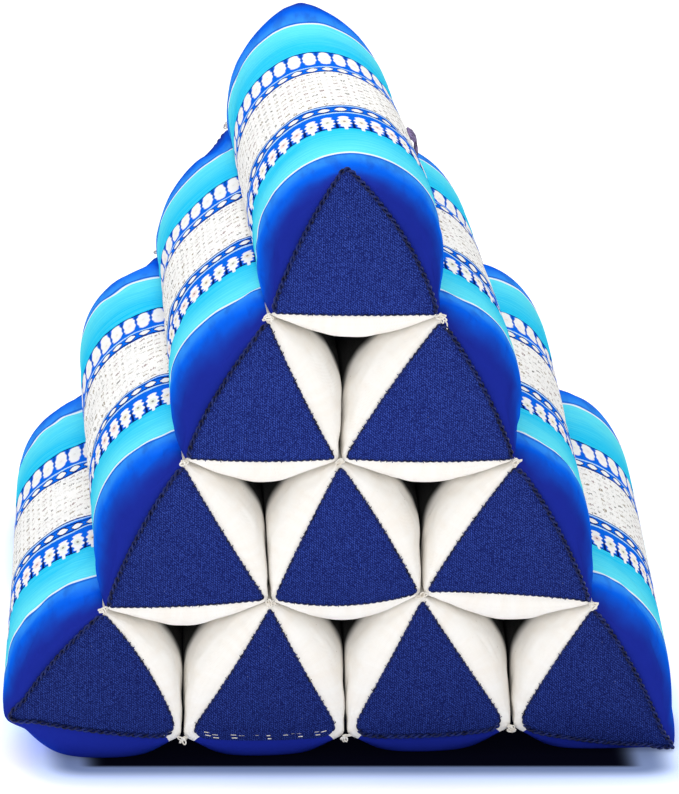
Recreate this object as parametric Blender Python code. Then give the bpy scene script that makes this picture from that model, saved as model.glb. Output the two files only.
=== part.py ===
"""Thai triangle cushion: ten filled rolls in rows of one to four, sewn to each other along
their corner lines, each closed by a cloth panel at both ends, with a plain tab at one side.

Metres, +Z up. The end faces point along -Y and +Y, the floor is z = 0 and the origin is the
middle of the footprint.
"""
import math

import bmesh
import bpy
from mathutils import Vector

NAME = "thai_triangle_cushion"

# Driving dimensions
PITCH = 0.0875              # one seam line to the next along a row, at the front
ROW_RISE = 0.0807           # one row of seam lines to the next, at the front
BACK_PITCH = 0.0860         # the same two sizes at the back, which has settled a little
BACK_RISE = 0.0783
LENGTH = 0.300              # length of a roll between its end panels
SEAM_HEIGHT = 0.0150        # lowest row of seam lines above the floor
ROWS = 4

# How the stack leans from front to back
BACK_SHIFT = 0.0200         # the back of the bottom row stands this far towards +X
BACK_LEAN = -0.0780         # and this much less for each metre of height
BACK_STRAY = (0.0, -4.5, -3.0, -0.5, 0.0)    # and each level of seams strays by this, in mm
BACK_EVENNESS = 0.35        # share of the front's unevenness that the back shows

# Swell of a roll's sides
FREE_BULGE = 0.270 * PITCH      # outer sides, nearly a full round
CHANNEL_BULGE = 0.235 * PITCH   # calico sides that face each other across a channel
FLOOR_PRESS = 0.0110            # how far an unloaded underside would pass the floor
BULGE_VARIATION = 0.03
SAG = {"left": -0.15, "right": 0.08}    # how much lower the fullest part of an outer side lies
FULLNESS = {                    # outer sides' share of the swell at front and back, from the top row
    "left": ((0.86, 0.84), (0.86, 0.65), (0.94, 1.12), (0.90, 1.02)),
    "right": ((1.00, 0.98), (0.93, 0.82), (0.90, 1.13), (0.88, 1.12)),
}
PANEL_BOW = 0.040 * PITCH       # swell of the outer sides where they meet the end panel
CHANNEL_BOW = 0.025 * PITCH
FLOOR_BOW = 0.010 * PITCH
SWELL_POWER = 13.0              # the swell is full a short way in from each end
SWELL_ROOT = 2.06
CROWN = 0.0030                  # how far an end face stands proud of its seam

CREST = (0.0, 4)                # the top roll's upper corner, where its cloth only turns
CREST_DROP = 0.0088             # how far the crest sinks between its two ends

# Clearances between sewn neighbours
WALL_GAP = 0.0006
CORNER_INSET = 0.0010
BLEND = 0.0020                  # rounding where a side starts to press on its neighbour

# End panels
PANEL_GAP = 0.0003
PANEL_THICKNESS = 0.0015
PANEL_SCALE = 0.985
CAP_RING = 0.55                 # inner ring of a crowned end face

# Side tab, rooted in the groove to the right of the top roll
TAB_WIDTH = 0.014
TAB_THICKNESS = 0.0010
TAB_CLEARANCE = 0.0006
TAB_LIFT = 0.0045               # how far its middle stands off the roll
TAB_START = 0.06                # from here to there round the roll's side
TAB_END = 0.46
TAB_ALONG = 0.0200              # how far behind mid length it is sewn on
TAB_STEPS = 10

STEPS_PER_SIDE = 7
STATIONS = (0.0, 0.008, 0.025, 0.06, 0.12, 0.25, 0.5, 0.75, 0.88, 0.94, 0.975, 0.992, 1.0)

MM = 0.001

# Seam lines at the front: column (in pitches from the middle), row, and how far the sewing
# strays from the even lattice, in millimetres to the right and up.
SEAMS = {
    (0.0, 4): (-5.8, 10.0),
    (-0.5, 3): (-0.4, 5.5),
    (0.5, 3): (2.9, 3.3),
    (-1.0, 2): (-0.2, 3.7),
    (0.0, 2): (-4.5, 1.7),
    (1.0, 2): (1.9, -0.4),
    (-1.5, 1): (1.7, -2.4),
    (-0.5, 1): (3.6, 0.2),
    (0.5, 1): (-2.2, 2.4),
    (1.5, 1): (3.3, -5.9),
    (-2.0, 0): (-3.7, 15.0),
    (-1.0, 0): (1.0, -0.2),
    (0.0, 0): (2.4, -1.4),
    (1.0, 0): (5.8, 1.0),
    (2.0, 0): (5.6, -12.5),
}

COLOURS = {
    "roll": ((0.004, 0.085, 0.62, 1.0), 0.75),
    "panel": ((0.010, 0.014, 0.19, 1.0), 0.85),
    "tab": ((0.035, 0.022, 0.045, 1.0), 0.70),
}


def clear_scene():
    for thing in list(bpy.data.objects):
        bpy.data.objects.remove(thing, do_unlink=True)


def make_material(name, kind):
    colour, roughness = COLOURS[kind]
    material = bpy.data.materials.new(name)
    material.use_nodes = True
    shader = material.node_tree.nodes["Principled BSDF"]
    shader.inputs["Base Color"].default_value = colour
    shader.inputs["Roughness"].default_value = roughness
    shader.inputs["Metallic"].default_value = 0.0
    return material


def swell(along):
    """0 at the end panels, rising to 1 a short way in."""
    return (1.0 - abs(2.0 * along - 1.0) ** SWELL_POWER) ** (1.0 / SWELL_ROOT)


def seam_point(seam, along):
    """Where a seam line crosses the section at a fraction of the length, as (x, z)."""
    column, row = seam
    stray = Vector(SEAMS[seam]) * MM
    front = Vector((column * PITCH, SEAM_HEIGHT + row * ROW_RISE)) + stray
    back_height = row * BACK_RISE
    back_x = column * BACK_PITCH + BACK_SHIFT + BACK_LEAN * back_height
    back_x += BACK_STRAY[row] * MM
    back = Vector((back_x, SEAM_HEIGHT + back_height)) + stray * BACK_EVENNESS
    point = front.lerp(back, along)
    if seam == CREST:
        point.y -= CREST_DROP * swell(along) * (1.0 - along ** 6)
    return point


def smaller(a, b):
    """The smaller of two heights, with a rounded change from one to the other."""
    overlap = max(BLEND - abs(a - b), 0.0)
    return min(a, b) - overlap * overlap / (4.0 * BLEND)


def bisector_limit(corner, towards, other):
    """A line through a channel's corner that halves its angle: a point and its normal."""
    first = (towards - corner).normalized()
    second = (other - corner).normalized()
    middle = (first + second).normalized()
    normal = Vector((-middle.y, middle.x))
    if normal.dot(second) < 0.0:
        normal = -normal
    return corner, normal, WALL_GAP / 2.0


def side_limits(kind, start, end, opposite):
    """What stops a side's swell, as (point, normal towards it, clearance)."""
    if kind == "floor":
        return [(Vector((0.0, 0.0)), Vector((0.0, -1.0)), 0.0)]
    if kind == "channel":
        return [bisector_limit(start, end, opposite), bisector_limit(end, start, opposite)]
    return []


def side_points(start, end, bulge, limits, sag):
    """Points along an arc from start towards end, swelling to the right, end left out.

    A sag above 0 makes the swell fuller near start, and below 0 near end.
    """
    chord = end - start
    half = chord.length / 2.0
    direction = chord.normalized()
    outward = Vector((direction.y, -direction.x))
    radius = (half * half + bulge * bulge) / (2.0 * bulge)
    reach = math.asin(half / radius)
    points = []
    for step in range(STEPS_PER_SIDE):
        angle = reach * (2.0 * step / STEPS_PER_SIDE - 1.0)
        base = start + direction * (half + radius * math.sin(angle))
        height = radius * math.cos(angle) - (radius - bulge)
        height *= 1.0 + sag * (1.0 - 2.0 * step / STEPS_PER_SIDE)
        for point, normal, clearance in limits:
            room = (point - base).dot(normal) - clearance
            height = smaller(height, room / outward.dot(normal))
        if step == 0:
            height = 0.0
        points.append(base + outward * max(height, 0.0))
    return points


def outer_edge(start, end):
    """Left for a side that runs downwards, right for one that runs upwards."""
    return "left" if end.y < start.y else "right"


class Roll:
    """One filled roll: its row and place, its three seam lines and what its sides face."""

    def __init__(self, row_from_top, place):
        self.name = f"{row_from_top}_{place}"
        self.row = ROWS - row_from_top
        self.column = place - (row_from_top + 1) / 2.0
        column, row = self.column, self.row
        self.left = (column - 0.5, row)
        self.right = (column + 0.5, row)
        self.top = (column, row + 1)
        self.vary = 1.0 + BULGE_VARIATION * math.sin(2.4 * row_from_top + 1.7 * place)
        last = place == row_from_top
        first = place == 1
        self.sides = (
            (self.left, self.right, "floor" if row == 0 else "channel", (column, row - 1)),
            (self.right, self.top, "free" if last else "channel", (column + 1.0, row + 1)),
            (self.top, self.left, "free" if first else "channel", (column - 1.0, row + 1)),
        )

    def side_bulge(self, kind, start, end, along):
        if kind == "free":
            share = FULLNESS[outer_edge(start, end)][ROWS - 1 - self.row]
            full = FREE_BULGE * self.vary * (share[0] + (share[1] - share[0]) * along)
            low = PANEL_BOW
        elif kind == "channel":
            low, full = CHANNEL_BOW, CHANNEL_BULGE
        else:
            low, full = FLOOR_BOW, (start.y + end.y) / 2.0 + FLOOR_PRESS
        return low + (full - low) * swell(along)

    def section(self, along):
        """The closed outline at a fraction of the length, as (x, z) points."""
        seams = [seam_point(seam, along) for seam in (self.left, self.right, self.top)]
        centre = sum(seams, Vector((0.0, 0.0))) / 3.0
        outline = []
        for start, end, kind, opposite in self.sides:
            a, b = seam_point(start, along), seam_point(end, along)
            far = seam_point(opposite, along) if kind == "channel" else None
            inset_a = a + (centre - a).normalized() * CORNER_INSET
            inset_b = b + (centre - b).normalized() * CORNER_INSET
            bulge = self.side_bulge(kind, a, b, along)
            sags = kind == "free" and self.row < ROWS - 1
            sag = SAG[outer_edge(a, b)] if sags else 0.0
            limits = side_limits(kind, a, b, far)
            outline += side_points(inset_a, inset_b, bulge, limits, sag)
        return outline


def ring(outline, y, scale=1.0):
    """A section's outline as 3D points, drawn in towards its centre by a scale."""
    centre = sum(outline, Vector((0.0, 0.0))) / len(outline)
    return [Vector((p.x, y, p.y)) for p in (centre + (q - centre) * scale for q in outline)]


def loft(name, rings, kind, collection):
    """Closes a row of rings into one body, with a fan of faces over both ends."""
    bm = bmesh.new()
    rows = [[bm.verts.new(point) for point in points] for points in rings]
    count = len(rings[0])
    for near, far in zip(rows, rows[1:]):
        for i in range(count):
            j = (i + 1) % count
            bm.faces.new((near[i], far[i], far[j], near[j]))
    for row in (rows[0], rows[-1]):
        tip = bm.verts.new(sum((v.co for v in row), Vector()) / count)
        for i in range(count):
            bm.faces.new((row[i], row[(i + 1) % count], tip))
    bmesh.ops.recalc_face_normals(bm, faces=bm.faces)
    mesh = bpy.data.meshes.new(name)
    bm.to_mesh(mesh)
    bm.free()
    mesh.materials.append(make_material(name + "_cloth", kind))
    mesh.shade_smooth()
    mesh.set_sharp_from_angle(angle=math.radians(40.0))
    thing = bpy.data.objects.new(name, mesh)
    collection.objects.link(thing)
    return thing


def crown_height(scale):
    """How far an end face stands out at a share of the way from its middle to its seam."""
    return CROWN * (1.0 - scale * scale)


def end_y(outward, extra):
    """A lengthwise place at the front (outward -1) or back (+1), and further out by extra."""
    return outward * (LENGTH / 2.0 + extra)


def make_roll(roll, collection):
    rings = [ring(roll.section(0.0), end_y(-1, crown_height(CAP_RING)), CAP_RING)]
    for along in STATIONS:
        rings.append(ring(roll.section(along), (along - 0.5) * LENGTH))
    rings.append(ring(roll.section(1.0), end_y(1, crown_height(CAP_RING)), CAP_RING))
    return loft(f"roll_{roll.name}", rings, "roll", collection)


def make_panel(roll, outward, collection):
    """The cloth that closes one end, lying on the crowned end face."""
    outline = roll.section(0.0 if outward < 0 else 1.0)
    inner, outer = PANEL_GAP, PANEL_GAP + PANEL_THICKNESS
    edge, middle = PANEL_SCALE, PANEL_SCALE * CAP_RING
    rings = [
        ring(outline, end_y(outward, inner + crown_height(middle)), middle),
        ring(outline, end_y(outward, inner + crown_height(edge)), edge),
        ring(outline, end_y(outward, outer + crown_height(edge)), edge),
        ring(outline, end_y(outward, outer + crown_height(middle)), middle),
    ]
    end = "front" if outward < 0 else "back"
    return loft(f"{end}_panel_{roll.name}", rings, "panel", collection)


def make_tab(roll, collection):
    """A plain cloth tab that lies along the top roll's right side and curls off at its end."""
    along = 0.5 + TAB_ALONG / LENGTH
    right_side = roll.section(along)[STEPS_PER_SIDE:2 * STEPS_PER_SIDE + 1]
    rings = []
    for step in range(TAB_STEPS):
        share = step / (TAB_STEPS - 1)
        place = (TAB_START + (TAB_END - TAB_START) * share) * STEPS_PER_SIDE
        index = int(place)
        here = right_side[index].lerp(right_side[index + 1], place - index)
        direction = (right_side[index + 1] - right_side[index]).normalized()
        outward = Vector((direction.y, -direction.x))
        near = here + outward * (TAB_CLEARANCE + TAB_LIFT * math.sin(math.pi * share ** 4))
        far = near + outward * TAB_THICKNESS
        low, high = TAB_ALONG - TAB_WIDTH / 2.0, TAB_ALONG + TAB_WIDTH / 2.0
        corners = ((near, low), (near, high), (far, high), (far, low))
        rings.append([Vector((p.x, y, p.y)) for p, y in corners])
    return loft("side_tab", rings, "tab", collection)


def centre_on_footprint(things):
    """Moves every mesh so that the footprint's middle is at x = 0, y = 0."""
    points = [vertex.co for thing in things for vertex in thing.data.vertices]
    low_x, high_x = min(p.x for p in points), max(p.x for p in points)
    low_y, high_y = min(p.y for p in points), max(p.y for p in points)
    shift = Vector((-(low_x + high_x) / 2.0, -(low_y + high_y) / 2.0, 0.0))
    for thing in things:
        for vertex in thing.data.vertices:
            vertex.co += shift
    return shift


def main():
    clear_scene()
    collection = bpy.data.collections.new(NAME)
    bpy.context.scene.collection.children.link(collection)
    things = []
    for row_from_top in range(1, ROWS + 1):
        for place in range(1, row_from_top + 1):
            roll = Roll(row_from_top, place)
            things.append(make_roll(roll, collection))
            things.append(make_panel(roll, -1, collection))
            things.append(make_panel(roll, 1, collection))
    things.append(make_tab(Roll(1, 1), collection))
    shift = centre_on_footprint(things)
    print(f"{len(things)} pieces, centred by {shift.x:.5f}, {shift.y:.5f}")


main()
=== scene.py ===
# %% [markdown]
# # A triangle cushion of sewn rolls
# The cushion is ten tight rolls of cotton, stacked four, three, two and one, and sewn to each
# other along their corner lines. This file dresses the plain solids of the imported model: it
# makes the cloth of every roll, the cloth triangles that close their ends, and the sewing.
# Everything is in metres and hangs on the solids' own corners. What the solids leave out, such
# as how full each side is or how far a seam strays, is fitted to the picture.

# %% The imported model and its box
import math
import random

import bmesh
import bpy
import numpy as np
from mathutils import Matrix, Vector


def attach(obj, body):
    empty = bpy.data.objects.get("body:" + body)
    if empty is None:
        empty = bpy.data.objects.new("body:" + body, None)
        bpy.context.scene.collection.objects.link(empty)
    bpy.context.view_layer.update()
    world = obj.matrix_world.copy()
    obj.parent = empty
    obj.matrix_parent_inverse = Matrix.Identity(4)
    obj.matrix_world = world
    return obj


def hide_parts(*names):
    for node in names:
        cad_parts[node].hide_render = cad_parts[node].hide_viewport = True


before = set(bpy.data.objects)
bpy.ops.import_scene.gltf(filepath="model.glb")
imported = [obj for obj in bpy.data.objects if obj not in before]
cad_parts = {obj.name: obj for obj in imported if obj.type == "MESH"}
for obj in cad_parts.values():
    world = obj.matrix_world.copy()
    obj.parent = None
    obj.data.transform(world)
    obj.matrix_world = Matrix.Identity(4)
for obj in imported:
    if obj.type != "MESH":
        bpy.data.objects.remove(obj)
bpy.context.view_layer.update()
scene = bpy.context.scene

# %% [markdown]
# ## The camera
# The picture fits a long lens that looks from a little to the left, 24 degrees above the
# floor. A camera is easiest to aim with three axes at right angles: where its back points, its
# right and its up. A small roll is added round the first of them.

# %% Camera
YAW, ELEVATION, ROLL = -0.1061, 0.4249, 0.0257
TARGET = Vector((-0.01439, -0.15, 0.2156))
DISTANCE = 2.6663
LENS = 229.9

back = Vector((math.sin(YAW) * math.cos(ELEVATION), -math.cos(YAW) * math.cos(ELEVATION),
               math.sin(ELEVATION)))
level = Vector((math.cos(YAW), math.sin(YAW), 0.0))
upward = back.cross(level)
right = level * math.cos(ROLL) + upward * math.sin(ROLL)
up = upward * math.cos(ROLL) - level * math.sin(ROLL)

camera = bpy.data.objects.new("camera", bpy.data.cameras.new("camera"))
scene.collection.objects.link(camera)
camera.data.lens = LENS
camera.data.sensor_width = 36.0
camera.data.clip_end = 50.0
camera.matrix_world = Matrix.Translation(TARGET + back * DISTANCE) @ Matrix(
    (right, up, back)).transposed().to_4x4()
scene.camera = camera
print(f"camera at {tuple(round(v, 3) for v in camera.location)}")

# %% [markdown]
# ## The seam lines
# Fifteen seam lines run from front to back, and every roll hangs between three of them. They
# are measured on the solids: the lowest left, lowest right and highest point of each end. A
# solid's corners stand 1 mm inside the seam, so each is moved out again by that much.

# %% Seam lines, measured on the solids
HALF_LENGTH = 0.150
CORNER_INSET = 0.001
ROWS = 4


def end_corners(node, y):
    """Left, right and top corner of a roll's end, as (x, z)."""
    points = np.array([v.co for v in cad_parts[node].data.vertices])
    points = points[np.abs(points[:, 1] - y) < 2e-4][:, [0, 2]]
    found = [points[points[:, 0].argmin()], points[points[:, 0].argmax()],
             points[points[:, 1].argmax()]]
    middle = sum(found) / 3.0
    return [p + (p - middle) / np.linalg.norm(p - middle) * CORNER_INSET for p in found]


def lattice(row_from_top, place):
    """Column and row of a roll's lower left end, counted from the middle and the floor."""
    return place - (row_from_top + 1) / 2.0, ROWS - row_from_top


seams = {}
PLACES = [(r, p) for r in range(1, ROWS + 1) for p in range(1, r + 1)]
for r, p in PLACES:
    column, row = lattice(r, p)
    ends = [end_corners(f"roll_{r}_{p}", y) for y in (-HALF_LENGTH, HALF_LENGTH)]
    for key, front, rear in zip(((column - 0.5, row), (column + 0.5, row), (column, row + 1)),
                                *ends):
        seams[key] = (front, rear)
print(f"{len(seams)} seam lines")


CREST = (0.0, 4)
CREST_DROP = 0.0088
CREST_SETTLE = 0.0026      # it has sunk a little more two thirds of the way back
CREST_LEAN = 0.0038        # and its back end leans to the right


def swell(along):
    """0 at the end cloths, and 1 from a short way in."""
    return (1.0 - abs(2.0 * along - 1.0) ** 13.0) ** (1.0 / 2.06)


def seam_at(key, along):
    """Where a seam line is at a fraction of the length from the front, as (x, z)."""
    front, rear = seams[key]
    place = front * (1.0 - along) + rear * along
    if key == CREST:
        drop = CREST_DROP * swell(along) * (1.0 - along ** 6)
        drop += CREST_SETTLE * 6.75 * along ** 2 * (1.0 - along)
        place = place + np.array((CREST_LEAN * along ** 3, -drop))
    return place


# %% [markdown]
# ## The shape of one roll
# Seen from its end a roll is a triangle with swollen sides. A stuffed side takes the shape of
# an arc, until it meets the floor or the roll across the channel, where it is pressed flat.
# At the end cloth a side only bows by a few millimetres. It is nine tenths full 2 cm in.

# %% How a side swells
PITCH = 0.0875
FREE_BULGE = 0.270 * PITCH
CHANNEL_BULGE = 0.235 * PITCH
FLOOR_PRESS = 0.0110
END_BOW = {"free": 0.040 * PITCH, "channel": 0.025 * PITCH, "floor": 0.030 * PITCH}
WALL_GAP = 0.0004
BLEND = 0.0025
SKIN = 0.0003
SAG = {"left": (0.0, -0.40, 0.10, -0.12), "right": (0.0, 0.0, -0.25, -0.20)}   # from the top row
FULLNESS = {   # share of the swell at front and back, and what a third of the way in has more
    "left": ((0.86, 0.80, 0.0), (0.88, 0.60, 0.0), (0.88, 1.10, -0.05), (0.78, 1.00, 0.0)),
    "right": ((1.00, 0.92, 0.24), (0.91, 0.81, 0.03), (0.82, 1.12, -0.05), (0.86, 1.10, -0.05)),
}
EXTRA_BOW = {("1_1", "right"): 0.0030, ("3_2", "under"): 0.0040, ("4_1", "right"): 0.0028}
OUTER_CORNERS = ((0.0, 4), (-2.0, 0), (2.0, 0))
OUTER_TURN = {(0.0, 4): (0.0085, 0.0030), (-2.0, 0): (0.0120, 0.0125), (2.0, 0): (0.0100, 0.0145)}
SEWN_TURN = 0.0040
CREST_CUT = 0.0060      # how much more of the crest is rounded off at the back
LOWEST = 0.0016         # the cord on a corner just touches the table


def smaller(a, b):
    """The smaller of two heights, with a rounded change between them."""
    overlap = np.maximum(BLEND - np.abs(a - b), 0.0)
    return np.minimum(a, b) - overlap ** 2 / (4.0 * BLEND)


def unit(v):
    return v / np.linalg.norm(v)


def halving_limit(corner, towards, other):
    """The line that halves a channel's corner, which a wall may not pass."""
    second = unit(other - corner)
    middle = unit(unit(towards - corner) + second)
    normal = np.array((-middle[1], middle[0]))
    return corner, normal if normal @ second > 0 else -normal, WALL_GAP / 2.0


def edge_name(side):
    """Which edge of its roll a side is: under, right or left."""
    start, end = side[0], side[1]
    return "under" if start[1] == end[1] else ("right" if start[1] < end[1] else "left")


def side_arc(start, end, bulge, limits, steps, sag):
    """One side's points, the last left out, swelling to the right of start to end."""
    half = np.linalg.norm(end - start) / 2.0
    direction = unit(end - start)
    outward = np.array((direction[1], -direction[0]))
    radius = (half * half + bulge * bulge) / (2.0 * bulge)
    angle = math.asin(half / radius) * (2.0 * np.arange(steps) / steps - 1.0)
    base = start + np.outer(half + radius * np.sin(angle), direction)
    height = radius * np.cos(angle) - (radius - bulge)
    height *= 1.0 + sag * (1.0 - 2.0 * np.arange(steps) / steps)
    for point, normal, clearance in limits:
        room = (point - base) @ normal - clearance
        height = smaller(height, room / (outward @ normal))
    height[0] = 0.0
    return base + np.outer(np.maximum(height, 0.0), outward)


# %% [markdown]
# A roll knows its seams and what each of its sides faces. The sides are taken in the order in
# which the striped cloth runs, so that the stripe's pattern never breaks at a corner that is
# only a turn of the cloth.

# %% A roll and its outline


class Roll:
    """One roll: its three sides as (start seam, end seam, what it faces, seam across)."""

    def __init__(self, row_from_top, place):
        self.name = f"{row_from_top}_{place}"
        self.row_from_top = row_from_top
        column, row = lattice(row_from_top, place)
        left, right_, top = (column - 0.5, row), (column + 0.5, row), (column, row + 1)
        self.vary = 1.0 + 0.03 * math.sin(2.4 * row_from_top + 1.7 * place)
        first, last = place == 1, place == row_from_top
        sides = [
            (left, right_, "floor" if row == 0 else "channel", (column, row - 1)),
            (right_, top, "free" if last else "channel", (column + 1.0, row + 1)),
            (top, left, "free" if first else "channel", (column - 1.0, row + 1)),
        ]
        turn = 1 if first and last else (2 if first else 0)
        self.sides = sides[turn:] + sides[:turn]
        self.seed = row_from_top * 10 + place

    def limits(self, side, along):
        start, end, kind, across = side
        if kind == "floor":
            return [(np.zeros(2), np.array((0.0, -1.0)), 0.0)]
        if kind == "channel":
            a, b, far = (seam_at(key, along) for key in (start, end, across))
            return [halving_limit(a, b, far), halving_limit(b, a, far)]
        return []

    def fullness(self, side, a, b, along):
        if side[2] == "channel":
            return CHANNEL_BULGE
        if side[2] == "floor":
            return (a[1] + b[1]) / 2.0 + FLOOR_PRESS
        front, rear, middle = FULLNESS[edge_name(side)][self.row_from_top - 1]
        share = front + (rear - front) * along + middle * 6.75 * along * (1.0 - along) ** 2
        return FREE_BULGE * self.vary * share

    def outline(self, along, steps):
        """The closed section at a fraction of the length, as (x, z) points."""
        middle = sum(seam_at(side[0], along) for side in self.sides) / 3.0
        points = []
        for side in self.sides:
            a, b = seam_at(side[0], along), seam_at(side[1], along)
            extra = EXTRA_BOW.get((self.name, edge_name(side)), 0.0) * (1.0 - along)
            bow = END_BOW[side[2]] + extra
            bulge = bow + (self.fullness(side, a, b, along) - bow) * swell(along)
            sag = SAG[edge_name(side)][self.row_from_top - 1] if side[2] == "free" else 0.0
            limits = self.limits(side, along)
            a, b = a + unit(middle - a) * SKIN, b + unit(middle - b) * SKIN
            points.append(side_arc(a, b, bulge, limits, steps, sag))
        closed = self.turn_corners(np.concatenate(points), steps, along)
        return np.maximum(closed, (-1.0, LOWEST * (1.0 - swell(along))))

    def turn_corners(self, points, steps, along):
        """Cuts each corner with a small curve: at the ends, and where the cloth only turns."""
        near_end = 1.0 - swell(along)
        count = len(points)
        turned = points.copy()
        for index, side in enumerate(self.sides):
            corner = index * steps
            reach, beyond = OUTER_TURN.get(side[0], (SEWN_TURN * near_end, 0.0))
            middle = points.mean(axis=0)
            if side[0] == CREST:
                reach += CREST_CUT * along ** 6
                beyond *= near_end * (1.0 - along)
            tip = points[corner] + unit(points[corner] - middle) * beyond
            both = []
            for way in (-1, 1):
                line = np.array([points[(corner + way * k) % count] for k in range(steps // 2)])
                far = np.concatenate(([0.0], np.cumsum(
                    np.linalg.norm(np.diff(line, axis=0), axis=1))))
                both.append((way, far, [np.interp(reach, far, line[:, c]) for c in (0, 1)]))
            before, after_ = np.array(both[0][2]), np.array(both[1][2])
            for way, far, _ in both:
                for k in range(steps // 2):
                    if far[k] < reach:
                        t = 0.5 + 0.5 * way * far[k] / reach
                        turned[(corner + way * k) % count] = (
                            (1 - t) ** 2 * before + 2 * t * (1 - t) * tip + t * t * after_)
        return turned


rolls = [Roll(r, p) for r, p in PLACES]
print("sides:", {roll.name: [side[2] for side in roll.sides] for roll in rolls})

# %% [markdown]
# ## The covers
# A real cover is a flat cloth, rolled up and sewn. The mesh is made in the same way: a grid is
# rolled round the outline, its two long edges are merged, and the ends are filled. The rows of
# the grid are closer together at the ends, where the cloth turns sharply. The UV map keeps the
# flat cloth's own sizes in metres, so the woven pattern can be laid out like a weaver's chart.

# %% Turning a finished bmesh into a piece


def cut_out(bm, name, *cloths):
    mesh = bpy.data.meshes.new(name)
    bm.to_mesh(mesh)
    bm.free()
    for cloth in cloths:
        mesh.materials.append(cloth)
    piece = bpy.data.objects.new(name, mesh)
    scene.collection.objects.link(piece)
    return piece


def stands_for(piece, node):
    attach(piece, "root")
    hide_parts(node)


# %% Rolling a cover from a grid
STEPS = 26
STATIONS = 100
CLOSER = 0.62


def station(index):
    """Fraction of the length of a row of the grid, with closer rows at both ends."""
    t = index / STATIONS
    return t - CLOSER * math.sin(2.0 * math.pi * t) / (2.0 * math.pi)


def roll_cover(roll, banded, calico):
    count = 3 * STEPS
    alongs = [station(j) for j in range(STATIONS + 1)]
    rings = np.array([roll.outline(a, STEPS) for a in alongs])
    middle_ring = rings[STATIONS // 2]
    edge = np.linalg.norm(np.roll(middle_ring, -1, 0) - middle_ring, axis=1)
    round_it = np.concatenate(([0.0], np.cumsum(edge)))

    bm = bmesh.new()
    bmesh.ops.create_grid(bm, x_segments=count, y_segments=STATIONS, size=0.5)
    uv = bm.loops.layers.uv.new("cloth")
    ring_layer = bm.verts.layers.int.new("ring_step")
    row_layer = bm.verts.layers.int.new("row")
    place = {v: (round((v.co.x + 0.5) * count), round((v.co.y + 0.5) * STATIONS))
             for v in bm.verts}
    for face in bm.faces:
        face.smooth = True
        first = min(place[v][0] for v in face.verts)
        nearest = min(place[v][1] for v in face.verts)
        side = roll.sides[first // STEPS]
        turned_in = side[2] == "floor" and abs(2 * nearest + 1 - STATIONS) > STATIONS - 12 and (
            (first % STEPS < 2 and side[0] not in OUTER_CORNERS)
            or (first % STEPS > STEPS - 3 and side[1] not in OUTER_CORNERS))
        face.material_index = int(side[2] == "channel" or turned_in)
        for loop in face.loops:
            i, j = place[loop.vert]
            loop[uv].uv = (round_it[i], alongs[j] * 2.0 * HALF_LENGTH)
    for v, (i, j) in place.items():
        x, z = rings[j][i % count]
        v.co = (x, (alongs[j] * 2.0 - 1.0) * HALF_LENGTH, z)
        v[ring_layer], v[row_layer] = i % count, j
    bmesh.ops.remove_doubles(bm, verts=bm.verts, dist=1e-6)
    caps = bmesh.ops.holes_fill(bm, edges=[e for e in bm.edges if e.is_boundary], sides=0)
    for face in caps["faces"]:
        face.material_index = 1
    bmesh.ops.recalc_face_normals(bm, faces=bm.faces)
    return cut_out(bm, f"cover_{roll.name}", banded, calico)


# %% [markdown]
# ## The stuffing
# A filling such as kapok is packed in until the cloth is tight, and what is sewn stays where it is. Blender's
# Cloth does the same: the seams and both ends are pinned, the cloth is made a little larger
# than its place, and air pressure stands for the kapok. No point may move more than a few
# millimetres, so the roll keeps its size, and afterwards each side is held back to its own half
# of the channel. An underside keeps the flat shape that it was rolled with.

# %% Stuffing all covers at once
MOST_MOVE = 0.0026
CHANNEL_MOVE = 0.45     # the share of its move that a channel's wall keeps
STUFFING = {
    "quality": 4, "mass": 0.06, "air_damping": 2.0, "tension_stiffness": 12.0,
    "compression_stiffness": 12.0, "shear_stiffness": 4.0, "bending_stiffness": 0.02,
    "shrink_min": -0.022, "use_pressure": True, "uniform_pressure_force": 4.0,
    "vertex_group_mass": "sewn",
}


def pin_and_press(roll, cover):
    count = len(cover.data.vertices)
    ring_step, row = np.zeros(count, int), np.zeros(count, int)
    cover.data.attributes["ring_step"].data.foreach_get("value", ring_step)
    cover.data.attributes["row"].data.foreach_get("value", row)
    sewn = (row <= 0) | (row >= STATIONS)
    for index, side in enumerate(roll.sides):
        if side[0] not in OUTER_CORNERS:
            sewn |= ring_step == index * STEPS
    group = cover.vertex_groups.new(name="sewn")
    group.add([int(i) for i in np.nonzero(sewn)[0]], 1.0, "REPLACE")
    cloth = cover.modifiers.new("stuffing", "CLOTH")
    for name, value in STUFFING.items():
        setattr(cloth.settings, name, value)
    cloth.settings.effector_weights.gravity = 0.0
    cloth.collision_settings.use_collision = False
    cloth.collision_settings.use_self_collision = False
    return ring_step, row


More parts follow.
